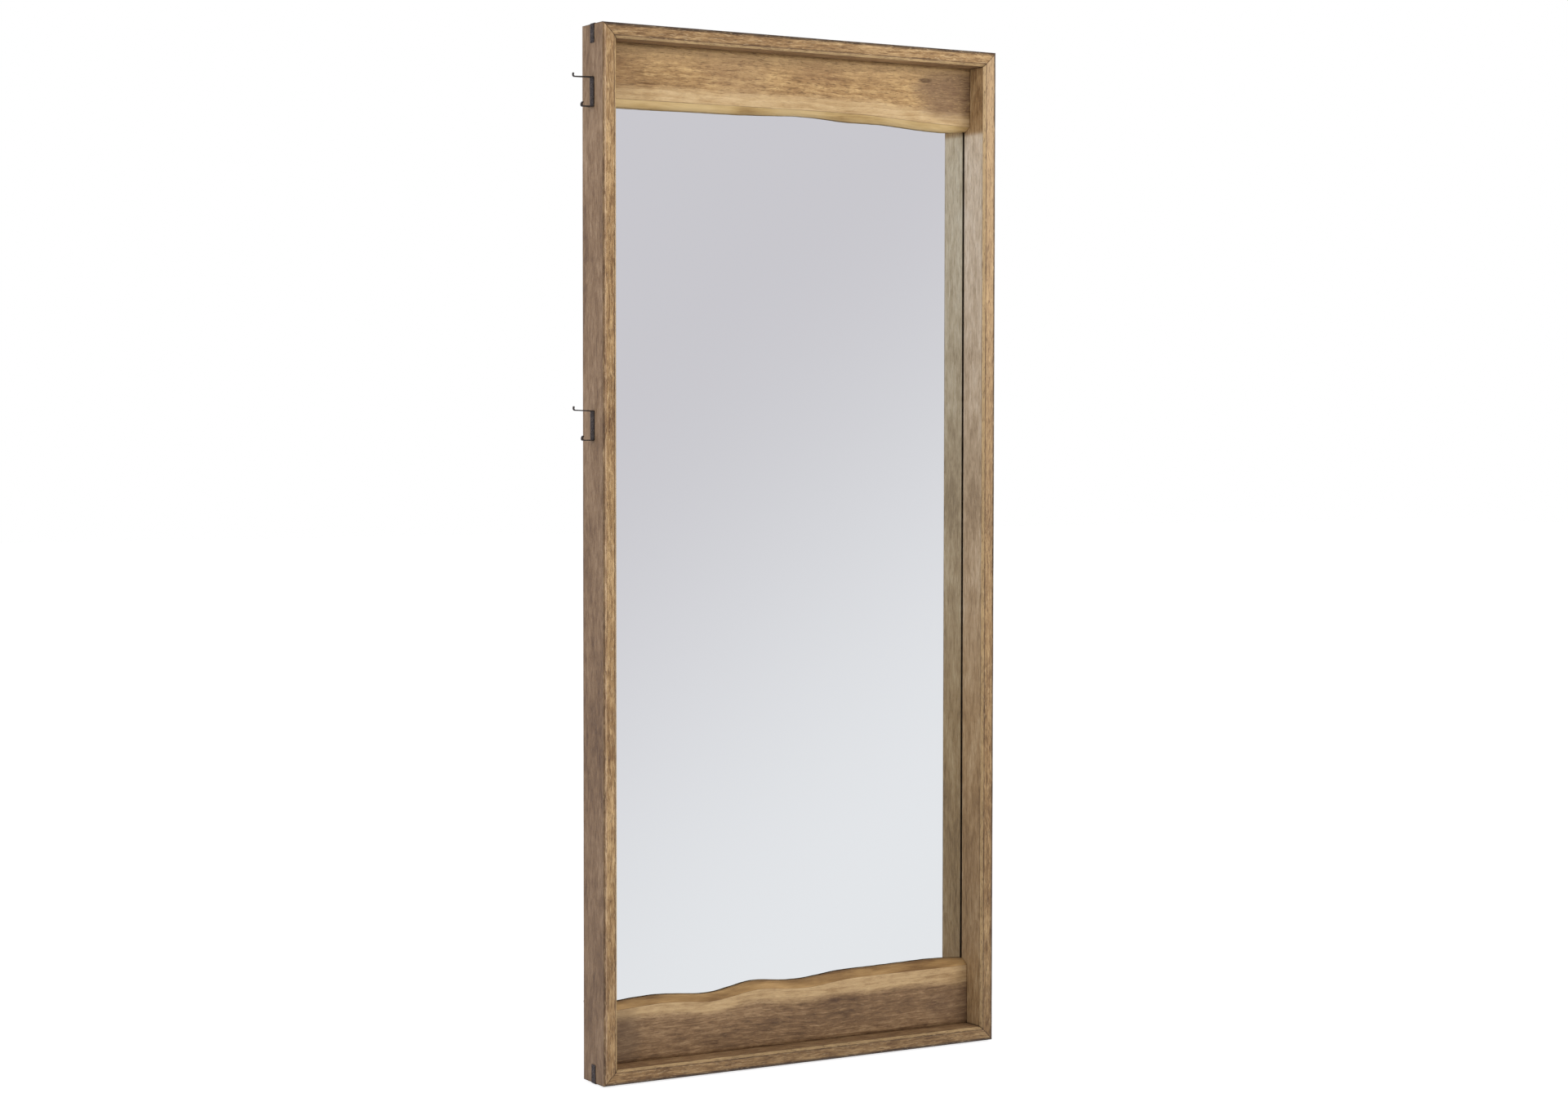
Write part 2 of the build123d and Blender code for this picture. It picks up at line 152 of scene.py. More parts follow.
# Node graphs
class Graph:
    """A node tree with a short call for each kind of node that the materials use."""

    def __init__(self, tree):
        self.tree = tree
        self.tree.nodes.clear()

    def put(self, socket, value):
        if isinstance(value, bpy.types.NodeSocket):
            self.tree.links.new(value, socket)
        else:
            socket.default_value = value

    def node(self, kind, settings=None, **inputs):
        made = self.tree.nodes.new("ShaderNode" + kind)
        for key, value in (settings or {}).items():
            setattr(made, key, value)
        for key, value in inputs.items():
            self.put(made.inputs[key.replace("_", " ")], value)
        return made

    def math(self, operation, *values):
        made = self.node("Math", {"operation": operation})
        for socket, value in zip(made.inputs, values):
            self.put(socket, value)
        return made.outputs[0]

    def vector(self, operation, *values):
        made = self.node("VectorMath", {"operation": operation})
        for socket, value in zip(made.inputs, values):
            self.put(socket, value)
        return made.outputs[0]

    def times(self, first, *others):
        """The product of two or more values."""
        product = first
        for value in others:
            product = self.math("MULTIPLY", product, value)
        return product

    def about(self, base, varied, weight):
        """base, raised and lowered by weight as varied goes above and below 0.5."""
        return self.math("MULTIPLY_ADD", self.math("SUBTRACT", varied, 0.5), weight, base)

    def noise(self, coords, stretch, detail=2.0, rough=0.5, warp=0.0):
        """Noise whose features are 1 / stretch metres long along each axis."""
        scaled = self.vector("MULTIPLY", coords, stretch)
        made = self.node("TexNoise", None, Vector=scaled, Scale=1.0, Detail=detail, Roughness=rough,
                         Distortion=warp)
        return made.outputs[0]

    def ramp(self, value, low, high, start=0.0, end=1.0, smooth=True):
        """value taken from low..high to start..end, and held there beyond."""
        made = self.node("MapRange", {"interpolation_type": "SMOOTHSTEP" if smooth else "LINEAR"})
        for socket, given in zip(made.inputs, (value, low, high, start, end)):
            self.put(socket, given)
        return made.outputs[0]

    def edge(self, value, start, end):
        """0 at start and beyond it, 1 at end and beyond it. Both are in millimetres, in either order."""
        return self.ramp(value, start * MM, end * MM)

    def strip(self, value, rise_from, rise_to, fall_from, fall_to):
        """1 within a strip of value and 0 outside it. The four places are in millimetres."""
        return self.times(self.edge(value, rise_from, rise_to), self.edge(value, fall_to, fall_from))

    def mix(self, factor, first, second, blend="MIX"):
        made = self.node("Mix", {"data_type": "RGBA", "blend_type": blend})
        self.put(made.inputs[0], factor)
        self.put(made.inputs[6], first)
        self.put(made.inputs[7], second)
        return made.outputs[2]

    def colours(self, value, stops):
        made = self.node("ValToRGB", None, Fac=value)
        elements = made.color_ramp.elements
        elements[0].position, elements[0].color = stops[0]
        elements[1].position, elements[1].color = stops[-1]
        for place, colour in stops[1:-1]:
            elements.new(place).color = colour
        return made.outputs[0]

    def tones(self, value, three, reach=0.4):
        """Dark, middle and light tones, with the outer ones at reach either side of 0.5."""
        dark, middle, light = three
        return self.colours(value, [(0.5 - reach, dark), (0.5, middle), (0.5 + reach, light)])

    def attribute(self, name):
        return self.node("Attribute", {"attribute_name": name}).outputs["Fac"]

    def position(self):
        return self.node("TexCoord").outputs["Object"]

    def split(self, vector):
        return self.node("SeparateXYZ", None, Vector=vector).outputs

    def join(self, x, y, z):
        return self.node("CombineXYZ", None, X=x, Y=y, Z=z).outputs[0]

    def blend(self, factor, first, second):
        """A shader that goes from first to second as factor goes from 0 to 1."""
        made = self.node("MixShader", None, Fac=factor)
        self.put(made.inputs[1], first.outputs[0])
        self.put(made.inputs[2], second.outputs[0])
        return made

    def finish(self, height=None, distance=0.3 * MM, **inputs):
        """The material's surface: a Principled shader, with a bump from height."""
        shader = self.node("BsdfPrincipled")
        for key, value in inputs.items():
            self.put(shader.inputs[key.replace("_", " ")], value)
        if height is not None:
            bump = self.node("Bump", None, Strength=1.0, Distance=distance, Height=height)
            self.put(shader.inputs["Normal"], bump.outputs[0])
        output = self.node("OutputMaterial")
        self.put(output.inputs["Surface"], shader.outputs[0])


def new_material(name):
    made = bpy.data.materials.new(name)
    made.use_nodes = True
    return made, Graph(made.node_tree)


# Wood
class Wood:
    """The layers that every wood of the mirror shares, in grain space: X and Y across, Z along."""

    def __init__(self, graph, along, seed, ring_centre=(0.0, 0.05), ring_scale=42.0):
        g = self.graph = graph
        x, y, z = g.split(g.position())
        self.x, self.z = x, z
        across = (y, z, x) if along == "X" else (x, y, z)
        grain = g.vector("ADD", g.join(*across), (seed * 0.37, seed * 0.61, seed * 1.13))
        drift = g.node("TexNoise", None, Vector=g.vector("MULTIPLY", grain, (12, 12, 5)),
                       Scale=1.0, Detail=3.0)
        drift_about_0 = g.vector("SUBTRACT", drift.outputs[1], (0.5, 0.5, 0.5))
        sway = g.vector("MULTIPLY", drift_about_0, (0.024, 0.024, 0))
        self.grain = g.vector("ADD", grain, sway)
        centred = g.vector("ADD", g.join(*across), (ring_centre[0], ring_centre[1], 0.0))
        ringed = g.vector("MULTIPLY", g.vector("ADD", centred, sway), (1, 1, 0.12))
        wave = g.node("TexWave", {"wave_type": "RINGS", "rings_direction": "Z", "wave_profile": "SAW"},
                      Vector=ringed, Scale=ring_scale, Distortion=2.2, Detail=2.0, Detail_Scale=1.4)
        self.rings = wave.outputs[1]
        self.broad = g.noise(self.grain, (14, 14, 3.5), 3.0, 0.55)
        self.blotch = g.noise(self.grain, (60, 60, 24), 4.0, 0.62)
        self.bands = g.noise(self.grain, (200, 200, 36), 3.0, 0.6)
        self.streaks = g.noise(self.grain, (380, 380, 22), 4.0, 0.62)
        self.fine = g.noise(self.grain, (1300, 1300, 110), 3.0, 0.6)
        self.pores = g.ramp(g.noise(self.grain, (640, 640, 66), 2.0, 0.55), 0.555, 0.665)
        elsewhere = g.vector("ADD", self.grain, (3.1, 1.7, 9.2))
        self.flecks = g.ramp(g.noise(elsewhere, (600, 600, 72), 2.0, 0.5), 0.57, 0.70)

    def tone(self, ring=0.16, streak=0.9, broad=0.7, band=0.85):
        """How light the wood is from point to point, about 0.5."""
        total = 0.5
        layers = ((self.rings, ring), (self.streaks, streak), (self.broad, broad), (self.bands, band),
                  (self.blotch, 0.85), (self.fine, 0.5))
        for layer, weight in layers:
            total = self.graph.about(total, layer, weight)
        return total

    def height(self):
        """The brushed grain's relief: fine ridges with open pores."""
        g = self.graph
        ridges = g.math("MULTIPLY_ADD", self.streaks, 0.9, g.times(self.fine, 0.8))
        return g.math("SUBTRACT", ridges, g.times(self.pores, 0.55))

    def roughness(self, low=0.52, high=0.74):
        return self.graph.ramp(self.fine, 0.3, 0.7, low, high)


def bar_faces(g, w, tone, on_side, on_inner, inner_tones, inner_light, lit_top):
    """Tan front, browner outer side, and an inner side that is paler the higher it is. The outer side is partly
    its own cut of the wood and partly painted shade; the paler top and the pale, hazy inner side are painted
    light.
    """
    tan = g.tones(tone, FRONT_TONES)
    # The outer side browner and darker, partly its own cut of the wood and partly painted shade
    colour = g.mix(on_side, tan, g.tones(w.tone(ring=0.1, streak=0.6, broad=0.8), SIDE_GRAIN_AND_SHADE_TONES))
    height = g.ramp(w.z, 0.65, 1.8, smooth=False)
    # Painted light: the bar paler toward its top, by the given share
    colour = g.mix(g.times(height, lit_top), colour, LIT_TOP_TAN)
    # Painted light on the inner side: pale and hazy, more so the higher it is, with the front's tan beside the
    # top board
    beside_board = g.ramp(w.z, TOP_BOARD_LOW.z - 8 * MM, TOP_BOARD_LOW.z + 8 * MM)
    haze = g.times(height, inner_light, g.math("SUBTRACT", 1.0, beside_board))
    inner = g.mix(haze, g.tones(tone, inner_tones), g.tones(tone, INNER_HIGHLIGHT_TONES, 0.3))
    inner = g.mix(g.times(beside_board, inner_light), inner, tan)
    return g.mix(on_inner, colour, inner)


def outer_arris(g, colour, tone, uneven, inward, depth, worn_lit_arris):
    """A dark line on the outer chamfer, and a strip beside it on the front: pale where the arris is worn,
    partly wear and partly painted highlight, and dark otherwise.
    """
    on_chamfer = g.times(g.edge(inward, 3.4, 2.7), g.edge(depth, 5.0, 3.2))
    beside = g.times(g.strip(inward, 2.8, 3.3, 5.0, 7.0), g.edge(depth, 1.2, 0.6))
    # A worn arris: pale beside the chamfer, partly wear and partly a painted highlight where the edge catches
    # light
    if worn_lit_arris:
        dark_line, dark_line_strength = GLAZE_AND_SHADE_BROWN, g.ramp(uneven, 0.25, 0.65, 0.9, 0.4)
        strip_colour = g.colours(tone, [(0.2, WEAR_AND_HIGHLIGHT_DARK), (0.8, WEAR_AND_HIGHLIGHT_PALE)])
        strip_strength = g.ramp(uneven, 0.3, 0.6, 0.25, 0.65)
    else:
        dark_line, dark_line_strength = ARRIS_DARK, 0.9
        strip_colour = ARRIS_DARK
        strip_strength = g.ramp(uneven, 0.2, 0.7, 0.95, 0.55)
    colour = g.mix(g.times(on_chamfer, dark_line_strength), colour, dark_line)
    return g.mix(g.times(beside, strip_strength), colour, strip_colour)


def inner_arris(g, colour, uneven, inward, depth, on_inner):
    """The inner chamfer, paler than the front, between two dark lines; the band behind it on the inner face is
    painted shade.
    """
    start = (BAR - INNER_CHAMFER) / MM
    groove = g.strip(inward, start - 2.3, start - 1.1, start - 0.1, start + 0.9)
    colour = g.mix(g.times(groove, g.ramp(uneven, 0.25, 0.7, 0.9, 0.45)), colour, GLAZE_AND_SHADE_BROWN)
    chamfer = g.times(g.edge(inward, start + 0.5, start + 1.3), g.edge(depth, 5.6, 4.6))
    colour = g.mix(g.times(chamfer, 0.45), colour, CHAMFER_TAN)
    # Painted shade: a dark band on the inner face just behind the chamfer
    under_shade = g.times(g.strip(depth, 5.0, 5.8, 6.8, 8.2), on_inner)
    return g.mix(g.times(under_shade, g.ramp(uneven, 0.25, 0.7, 0.7, 0.3)), colour, GLAZE_AND_SHADE_BROWN)


def shade_along(g, w, along, shade_stops):
    """A painted shade to multiply over a bar, from (place, darkening) pairs along it."""
    low, high = shade_stops[0][0], shade_stops[-1][0]
    stops = []
    for at, dark in shade_stops:
        stops.append(((at - low) / (high - low), (1 - dark, 1 - dark * 1.04, 1 - dark * 1.1, 1.0)))
    place = g.about(w.x if along == "X" else w.z, w.broad, 0.3)
    return g.colours(g.ramp(place, low, high, smooth=False), stops)


def frame_wood(name, along, seed, shade_stops, worn_lit_arris, inner_tones, inner_light, lit_top=0.0):
    """The wood of a bar of the frame. It reads the mesh's inward, depth and from_mitre.

    The darkening along the bar, given as (place, darkening) pairs, is painted shade. Its outer arris is pale
    where worn, partly wear and partly painted highlight, and dark otherwise.
    """
    made, g = new_material(name)
    w = Wood(g, along, seed, ring_centre=(0.02, 0.07), ring_scale=34.0)
    inward = g.attribute("inward")
    depth = g.attribute("depth")
    tone = w.tone()
    uneven = g.noise(w.grain, (60, 60, 14), 3.0, 0.6)
    on_side = g.times(g.edge(depth, 0.8, 4.5), g.edge(inward, 1.2, 0.4))
    on_inner = g.ramp(inward, BAR - 0.8 * MM, BAR - 0.1 * MM)
    colour = bar_faces(g, w, tone, on_side, on_inner, inner_tones, inner_light, lit_top)
    colour = outer_arris(g, colour, tone, uneven, inward, depth, worn_lit_arris)
    colour = inner_arris(g, colour, uneven, inward, depth, on_inner)
    # Open pores and pale flecks, strongest on the front
    on_back = g.ramp(depth, DEPTH - 2 * MM, DEPTH - 0.5 * MM)
    off_front = g.math("MAXIMUM", g.math("MAXIMUM", on_side, on_inner), on_back)
    strength = g.ramp(off_front, 0.0, 1.0, 1.0, 0.4)
    colour = g.mix(g.times(w.pores, g.times(strength, 0.6)), colour, PORE_BROWN)
    colour = g.mix(g.times(w.flecks, g.times(strength, 0.45)), colour, PALE_FLECK)
    # Glaze caught in the mitres
    colour = g.mix(g.times(g.edge(g.attribute("from_mitre"), 1.6, 0.4), 0.65), colour, GLAZE_AND_SHADE_BROWN)
    # Painted shade on the rebate's wall and shoulder, a dark line beside the mirror
    rebate_x = BAR - REBATE
    rebate_shade = g.times(g.ramp(depth, REBATE_DEPTH - 0.3 * MM, REBATE_DEPTH),
                   g.ramp(inward, rebate_x - 1.0 * MM, rebate_x - 0.2 * MM),
                   g.ramp(depth, DEPTH - 2 * MM, DEPTH - 5 * MM))
    colour = g.mix(g.times(rebate_shade, 0.85), colour, REBATE_SHADE_BROWN)
    # Painted shade along the bar
    colour = g.mix(1.0, colour, shade_along(g, w, along, shade_stops), "MULTIPLY")
    g.finish(height=w.height(), distance=0.35 * MM, Base_Color=colour, Roughness=w.roughness())
    return made


# Meshes
def mesh_object(name, points, faces, materials, face_materials=None, attributes=None):
    """A smooth-shaded mesh object from plain lists."""
    mesh = bpy.data.meshes.new(name)
    mesh.from_pydata(points, [], faces)
    for material in materials:
        mesh.materials.append(material)
    if face_materials:
        mesh.polygons.foreach_set("material_index", face_materials)
    mesh.polygons.foreach_set("use_smooth", [True] * len(mesh.polygons))
    for key, values in (attributes or {}).items():
        mesh.attributes.new(key, "FLOAT", "POINT").data.foreach_set("value", values)
    mesh.update()
    made = bpy.data.objects.new(name, mesh)
    bpy.context.scene.collection.objects.link(made)
    return made


def flip_if_inside_out(piece):
    """Turn the faces round if they look inward, told from the sign of the mesh's volume."""
    mesh = piece.data
    volume = 0.0
    for face in mesh.polygons:
        corners = [mesh.vertices[i].co for i in face.vertices]
        for second, third in zip(corners[1:], corners[2:]):
            volume += corners[0].dot(second.cross(third))
    if volume < 0:
        mesh.flip_normals()


def place_piece(piece, body, slot, *replaced):
    """Fix a closed piece to a body, in place of the nodes that it replaces."""
    flip_if_inside_out(piece)
    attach(piece, body)
    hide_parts(*replaced)


def corner_curve(corners, i, steps):
    """The points that round corner i of a closed outline of (x, y, radius) corners."""
    here = Vector(corners[i][:2])
    radius = corners[i][2]
    before = (Vector(corners[i - 1][:2]) - here).normalized()
    after = (Vector(corners[(i + 1) % len(corners)][:2]) - here).normalized()
    start, end = here + before * radius, here + after * radius
    shares = [k / steps for k in range(steps + 1)]
    return [(1 - t) ** 2 * start + 2 * t * (1 - t) * here + t * t * end for t in shares]


def round_outline(corners, steps=3, longest=6 * MM):
    """A closed outline from (x, y, radius) corners: rounded there, divided where a side is long."""
    rounded = []
    for i in range(len(corners)):
        rounded += corner_curve(corners, i, steps)
    outline = []
    for i, point in enumerate(rounded):
        following = rounded[(i + 1) % len(rounded)]
        pieces = max(1, round((following - point).length / longest))
        outline += [point.lerp(following, k / pieces) for k in range(pieces)]
    return outline


def outline_normals(outline):
    normals = []
    for i in range(len(outline)):
        along = outline[(i + 1) % len(outline)] - outline[i - 1]
        normals.append(Vector((along.y, -along.x)).normalized())
    return normals


def loft(rings):
    """Points and faces of a tube through rings of equal length, with both ends closed."""
    size = len(rings[0])
    points = [point for ring in rings for point in ring]
    faces = []
    for i in range(len(rings) - 1):
        for j in range(size):
            k = (j + 1) % size
            faces.append((i * size + j, i * size + k, (i + 1) * size + k, (i + 1) * size + j))
    faces.append(tuple(reversed(range(size))))
    last = (len(rings) - 1) * size
    faces.append(tuple(range(last, last + size)))
    return points, faces


# The frame's bars
def bar_outline():
    """The section of a bar: X in from its outer face, Y back from its front."""
    ease = 0.7 * MM
    return round_outline([
        (OUTER_CHAMFER, 0, ease),
        (BAR - INNER_CHAMFER, 0, 0.9 * MM),
        (BAR, INNER_CHAMFER, 0.9 * MM),
        (BAR, REBATE_DEPTH, 0.4 * MM),
        (BAR - REBATE, REBATE_DEPTH, 0.2 * MM),
        (BAR - REBATE, DEPTH, 0.6 * MM),
        (BACK_CHAMFER, DEPTH, 0.5 * MM),
        (0, DEPTH - BACK_CHAMFER, 0.5 * MM),
        (0, OUTER_CHAMFER, ease),
    ])


def bar_dent(point, reach, seed, nicks):
    """How far wear has sunk a bar at a point of its section, at reach along it."""
    wave = noise.noise(Vector((reach * 9, point.x * 40 + seed, point.y * 40)))
    rough = noise.noise(Vector((reach * 55, point.x * 150, point.y * 150 + seed)))
    dent = 0.10 * MM * (1 + wave) + 0.06 * MM * (1 + rough)
    if max(point.x, point.y) < OUTER_CHAMFER * 1.05:
        dent += 0.35 * MM * max(0.0, noise.noise(Vector((reach * 28, seed * 3.7, 0.5))))
        for nick_at, nick_deep, nick_long in nicks:
            dent += nick_deep * max(0.0, 1 - abs(reach - nick_at) / nick_long)
    return dent


def bar_wood(name, node, corner, inward, along, length, material, seed, nicks=()):
    """A bar mitred at both ends. corner is its outer front corner where along starts."""
    outline = bar_outline()
    normals = outline_normals(outline)
    count = round(length / (7 * MM))
    mitre_line = 0.9 * MM / length
    stations = [0.0, mitre_line] + [i / count for i in range(1, count)] + [1 - mitre_line, 1.0]
    rings, inwards, depths, from_mitres = [], [], [], []
    for t in stations:
        ring = []
        for point, normal in zip(outline, normals):
            run = length - 2 * point.x
            reach = point.x + t * run
            dent = bar_dent(point, reach, seed, nicks)
            if t in (0.0, 1.0):
                dent += 0.45 * MM
            moved = point - normal * dent
            ring.append(corner + inward * moved.x + Y * moved.y + along * reach)
            inwards.append(point.x)
            depths.append(point.y)
            from_mitres.append(min(t, 1 - t) * run)
        rings.append(ring)
    points, faces = loft(rings)
    piece = mesh_object(name, points, faces, [material], attributes={
        "inward": inwards, "depth": depths, "from_mitre": from_mitres})
    place_piece(piece, "frame", "frame_wood", node)


# The darkenings along the bars are painted shade, heaviest low down
stile_left_grain = frame_wood(
    "stile_left_grain", "Z", 1.0, [(0.0, 0.16), (0.8, 0.06), (1.1, 0.1), (1.8, 0.0), (2.0, 0.08)],
    worn_lit_arris=True, inner_tones=LIT_INNER_TONES, inner_light=0.9)
stile_right_grain = frame_wood(
    "stile_right_grain", "Z", 5.0, [(0.0, 0.36), (0.8, 0.17), (1.2, 0.14), (1.6, 0.08), (2.0, 0.04)],
    worn_lit_arris=False, inner_tones=LIT_INNER_TONES, inner_light=0.9, lit_top=0.5)
rail_top_grain = frame_wood(
    "rail_top_grain", "X", 2.0, [(-0.45, 0.18), (-0.1, 0.06), (0.2, 0.09), (0.45, 0.0)],
    worn_lit_arris=False, inner_tones=BROWN_INNER, inner_light=0.0)
rail_bottom_grain = frame_wood(
    "rail_bottom_grain", "X", 3.0, [(-0.45, 0.17), (0.0, 0.37), (0.45, 0.36)],
    worn_lit_arris=False, inner_tones=TAN_INNER, inner_light=0.0)

# Nicks in the left arris: height along the bar, depth and half length
LEFT_NICKS = [(1.832, 1.0 * MM, 5 * MM), (0.62, 0.6 * MM, 8 * MM), (1.21, 0.5 * MM, 6 * MM)]
BOTTOM_LEFT = Vector((-SIDE_X, FRONT_Y, WOOD_BOTTOM))
BOTTOM_RIGHT = Vector((SIDE_X, FRONT_Y, WOOD_BOTTOM))
TOP_LEFT = Vector((-SIDE_X, FRONT_Y, WOOD_TOP))
bar_wood("stile_left_wood", "stile_left", BOTTOM_LEFT, X, Z, HEIGHT, stile_left_grain, 1.3, LEFT_NICKS)
bar_wood("stile_right_wood", "stile_right", BOTTOM_RIGHT, -X, Z, HEIGHT, stile_right_grain, 4.1)
bar_wood("rail_top_wood", "rail_top", TOP_LEFT, -Z, X, WIDTH, rail_top_grain, 7.7)
bar_wood("rail_bottom_wood", "rail_bottom", BOTTOM_LEFT, Z, X, WIDTH, rail_bottom_grain, 9.2)


# Live-edge boards
def oval_patch(g, w, colour, border, x, z, wide, high, strength, tint):
    """A soft oval of another colour, with a ragged border."""
    across = g.math("DIVIDE", g.math("SUBTRACT", w.x, x), wide)
    up = g.math("DIVIDE", g.math("SUBTRACT", w.z, z), high)
    far = g.about(g.math("ADD", g.times(across, across), g.times(up, up)), border, 1.6)
    return g.mix(g.ramp(far, 1.0, 0.05, 0.0, strength), colour, tint)


def board_wood(name, seed, sapwood, heartwood, bevel_tones, patches, widening=0.0):
    """Pale sapwood along the live edge, wider to the right by widening, and a bevel of its own colour.

    The mesh's from_edge is how far a point is from the live edge on the front, and negative on the bevel.
    """
    made, g = new_material(name)
    w = Wood(g, "X", seed, ring_centre=(0.03, -0.9), ring_scale=26.0)
    from_edge = g.attribute("from_edge")
    heart = g.tones(w.tone(ring=0.2, streak=0.9, broad=1.0), heartwood)
    sap = g.tones(w.tone(ring=0.2, streak=0.4, broad=0.5, band=0.35), sapwood, 0.35)
    border = g.noise(w.grain, (22, 22, 7), 4.0, 0.65)
    reach = g.math("MULTIPLY_ADD", w.x, -widening, g.about(from_edge, border, 30 * MM))
    is_heart = g.edge(reach, 17, 36)
    colour = g.mix(is_heart, sap, heart)
    # Painted light: paler just under the top rail, where the rail's shade falls
    lit_near_top = g.ramp(w.z, WOOD_TOP - 85 * MM, WOOD_TOP - 35 * MM)
    colour = g.mix(g.times(lit_near_top, 0.4), colour, BOARD_TOP_LIGHT)
    # Ripples across the grain, as brushed figured wood has
    ripple = g.ramp(g.noise(w.grain, (160, 160, 120), 2.0, 0.5), 0.5, 0.7)
    colour = g.mix(g.times(ripple, g.times(is_heart, 0.22)), colour, heartwood[0])
    for patch in patches:
        colour = oval_patch(g, w, colour, border, *patch)
    pores = g.times(w.pores, g.ramp(is_heart, 0.0, 1.0, 0.18, 0.62))
    flecks = g.times(w.flecks, g.ramp(is_heart, 0.0, 1.0, 0.3, 0.36))
    colour = g.mix(pores, colour, BOARD_PORE)
    colour = g.mix(flecks, colour, heartwood[2])
    # The bevel, a brown line on its arris, and painted shade where it meets the back, by the mirror
    bevel = g.about(g.ramp(g.noise(w.grain, (26, 26, 7), 3.0), 0.2, 0.75), w.streaks, 0.7)
    colour = g.mix(g.edge(from_edge, 0.4, -1.2), colour, g.tones(bevel, bevel_tones))
    arris = g.times(g.edge(from_edge, 1.0, 0.1), g.edge(from_edge, -2.2, -1.0))
    colour = g.mix(g.times(arris, g.ramp(border, 0.35, 0.65, 0.7, 0.25)), colour, BOARD_ARRIS)
    colour = g.mix(g.times(g.edge(from_edge, -20.5, -23.5), 0.4), colour, GLAZE_AND_SHADE_BROWN)
    g.finish(height=w.height(), Base_Color=colour, Roughness=w.roughness())
    return made


def board_section(corners, divisions, steps=4):
    """A board's section as (y, z, way) points, always of the same count, round (y, z, radius) corners.

    way is how far a point has come along the live edge, which runs from the second corner to the fourth.
    """
    count = len(corners)
    curves = []
    for i in range(count):
        curves.append(corner_curve(corners, i, steps) if corners[i][2] > 0 else [Vector(corners[i][:2])])
    ways = [0.0] * count
    for i in (2, 3):
        ways[i] = ways[i - 1] + (Vector(corners[i][:2]) - Vector(corners[i - 1][:2])).length
    section = []
    for i, curve in enumerate(curves):
        radius = corners[i][2]
        for k, point in enumerate(curve):
            turned = k / steps
            way = 0.0
            if i in (2, 3) or i == 1 and turned >= 0.5:
                way = max(0.0, ways[i] + radius * (2 * turned - 1))
            section.append((point.x, point.y, way))
        following = curves[(i + 1) % count][0]
        for k in range(1, divisions[i]):
            share = k / divisions[i]
            point = curve[-1].lerp(following, share)
            way = 0.0
            if i in (1, 2):
                straight = ways[i + 1] - ways[i] - radius - corners[i + 1][2]
                way = ways[i] + radius + share * straight
            section.append((point.x, point.y, way))
    return section


def board_piece(name, node, rail_z, material, seed):
    """A board whose live edge follows the frame's board, with an edge that a plane never touched."""
    low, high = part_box(node)
    tree = BVHTree.FromObject(nodes[node], bpy.context.evaluated_depsgraph_get())
    middle_z = (WOOD_BOTTOM + WOOD_TOP) / 2
    away = -1 if rail_z > middle_z else 1
    inset = 0.05 * MM
    half = high.x - 0.02 * MM
    columns = 300

    def live_edge_z(x, share):
        """Where the frame's board ends at x and at a share of its thickness, seen from mid-height."""
        inside = min(max(x, -half + inset), half - inset)
        y = low.y + inset + share * (high.y - low.y - 2 * inset)
        return tree.ray_cast(Vector((inside, y, middle_z)), -away * Z)[0].z

    rings, from_edges = [], []
    for i in range(columns + 1):
        x = -half + 2 * half * i / columns
        front, swell, back = [live_edge_z(x, share) for share in (0.0, 0.5, 1.0)]
        corners = [
            (low.y, rail_z, 0.0),
            (low.y, front, 2.2 * MM),
            ((low.y + high.y) / 2, swell, 3.5 * MM),
            (high.y, back, 1.2 * MM),
            (high.y, rail_z, 0.0),
        ]
        ring = []
        for y, z, way in board_section(corners, (14, 5, 5, 4, 3)):
            from_edges.append(-way if way > 0 else away * (front - z))
            ripple = noise.noise(Vector((x * 60, y * 90, seed)))
            fibre = noise.noise(Vector((x * 16, y * 220, seed + 5)))
            swing = noise.noise(Vector((x * 11, z * 30, seed + 9)))
            if way > 0:
                z -= away * (0.35 * MM * (1 + ripple) + 0.45 * MM * (1 + fibre))
            elif y < low.y + 1 * MM:
                y += 0.12 * MM * (1 + swing) + 0.06 * MM * (1 + ripple)
            ring.append(Vector((x, y, z)))
        rings.append(ring)
    points, faces = loft(rings)
    piece = mesh_object(name, points, faces, [material], attributes={"from_edge": from_edges})
    place_piece(piece, "frame", "board_wood", node)


# Patches are x, z, half width, half height, strength and colour. Those at the boards' ends, in the corners by
# the stiles, are painted shade; the rest and the knots are the wood's own colour.
board_top_grain = board_wood(
    "board_top_grain", 4.0, TOP_SAPWOOD, TOP_HEART, TOP_BEVEL,
    [(TOP_BOARD_HIGH.x - 0.05, TOP_BOARD_HIGH.z - 0.055, 0.1, 0.07, 0.7, END_SHADE_BROWN),
     (TOP_BOARD_LOW.x + 0.035, TOP_BOARD_HIGH.z - 0.05, 0.05, 0.055, 0.4, rgb(130, 98, 64)),
     (-0.13, TOP_BOARD_HIGH.z - 0.05, 0.1, 0.05, 0.35, rgb(126, 96, 70)),
     (0.06, TOP_BOARD_HIGH.z - 0.035, 0.07, 0.03, 0.3, rgb(134, 100, 68)),
     (0.31, TOP_BOARD_HIGH.z - 0.03, 0.02, 0.006, 0.75, KNOT_BROWN)])
